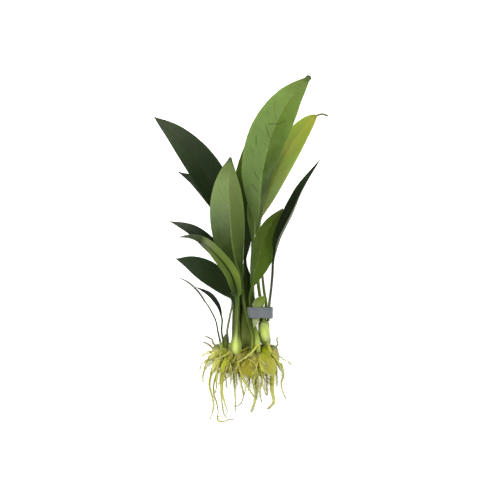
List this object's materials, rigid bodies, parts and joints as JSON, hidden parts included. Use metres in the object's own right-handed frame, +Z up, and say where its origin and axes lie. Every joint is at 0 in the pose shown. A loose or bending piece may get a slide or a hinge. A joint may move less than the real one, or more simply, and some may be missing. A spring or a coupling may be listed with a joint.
{
  "type": "bare-rooted anubias",
  "caption": "Bare-rooted broad-leaved water plant lying on its back: long pointed leaves on thin stalks, a creeping rhizome and trailing roots.",
  "frame": {"origin": "on the surface that the plant lies on, under the middle of its bounding box", "axes": "+Y from the roots to the leaf tips, +Z up, away from the surface, +X to the right seen from above with the leaf tips at the top"},
  "size_m": [0.1519, 0.2986, 0.0634],
  "materials": {
    "pale_leaf": "underside of a mature leaf: soft sheen, pale green with fine side veins",
    "young_leaf": "young leaf: satin, yellow-green",
    "green_leaf": "mid-green leaf: satin, with a paler midrib",
    "dark_leaf": "upper side of a mature leaf: satin, very dark green",
    "rhizome": "olive-yellow, matt, ringed with leaf scars",
    "shoot": "new growth: bright yellow-green, satin",
    "scale": "old scale leaves: thin, olive to straw, matt",
    "strip": "soft grey metal strip: dull, bare",
    "root": "pale yellow-green roots: matt"
  },
  "bodies": {
    "root": {"leaf_tall": "pale_leaf", "leaf_front": "pale_leaf", "leaf_yellow": "young_leaf", "leaf_arching": "green_leaf", "leaf_front_right": "green_leaf", "leaf_centre": "green_leaf", "leaf_back": "green_leaf", "leaf_left_high": "dark_leaf", "leaf_left_second": "dark_leaf", "leaf_left_mid": "dark_leaf", "leaf_left_low": "dark_leaf", "leaf_thin_outer": "dark_leaf", "leaf_thin_inner": "dark_leaf", "leaf_right": "dark_leaf", "rhizome": "rhizome", "shoot": "shoot", "sheath": "scale", "scale_left": "scale", "scale_middle": "scale", "scale_right": "scale", "strip": "strip", "root_left_short": "root", "root_left_long": "root", "root_left_raised": "root", "root_left_hooked": "root", "root_left_thick": "root", "root_left_front": "root", "root_middle_short": "root", "root_middle_straight": "root", "root_middle_hooked": "root", "root_middle_slanting": "root", "root_middle_front": "root", "root_centre_short": "root", "root_centre_thick": "root", "root_right_slender": "root", "root_right_front": "root", "root_right_short": "root", "root_right_thick": "root", "root_right_straight": "root", "root_right_long": "root", "root_right_raised": "root", "rootlet_left_upper": "root", "rootlet_left_lower": "root", "rootlet_right": "root"}
  },
  "joints": []
}
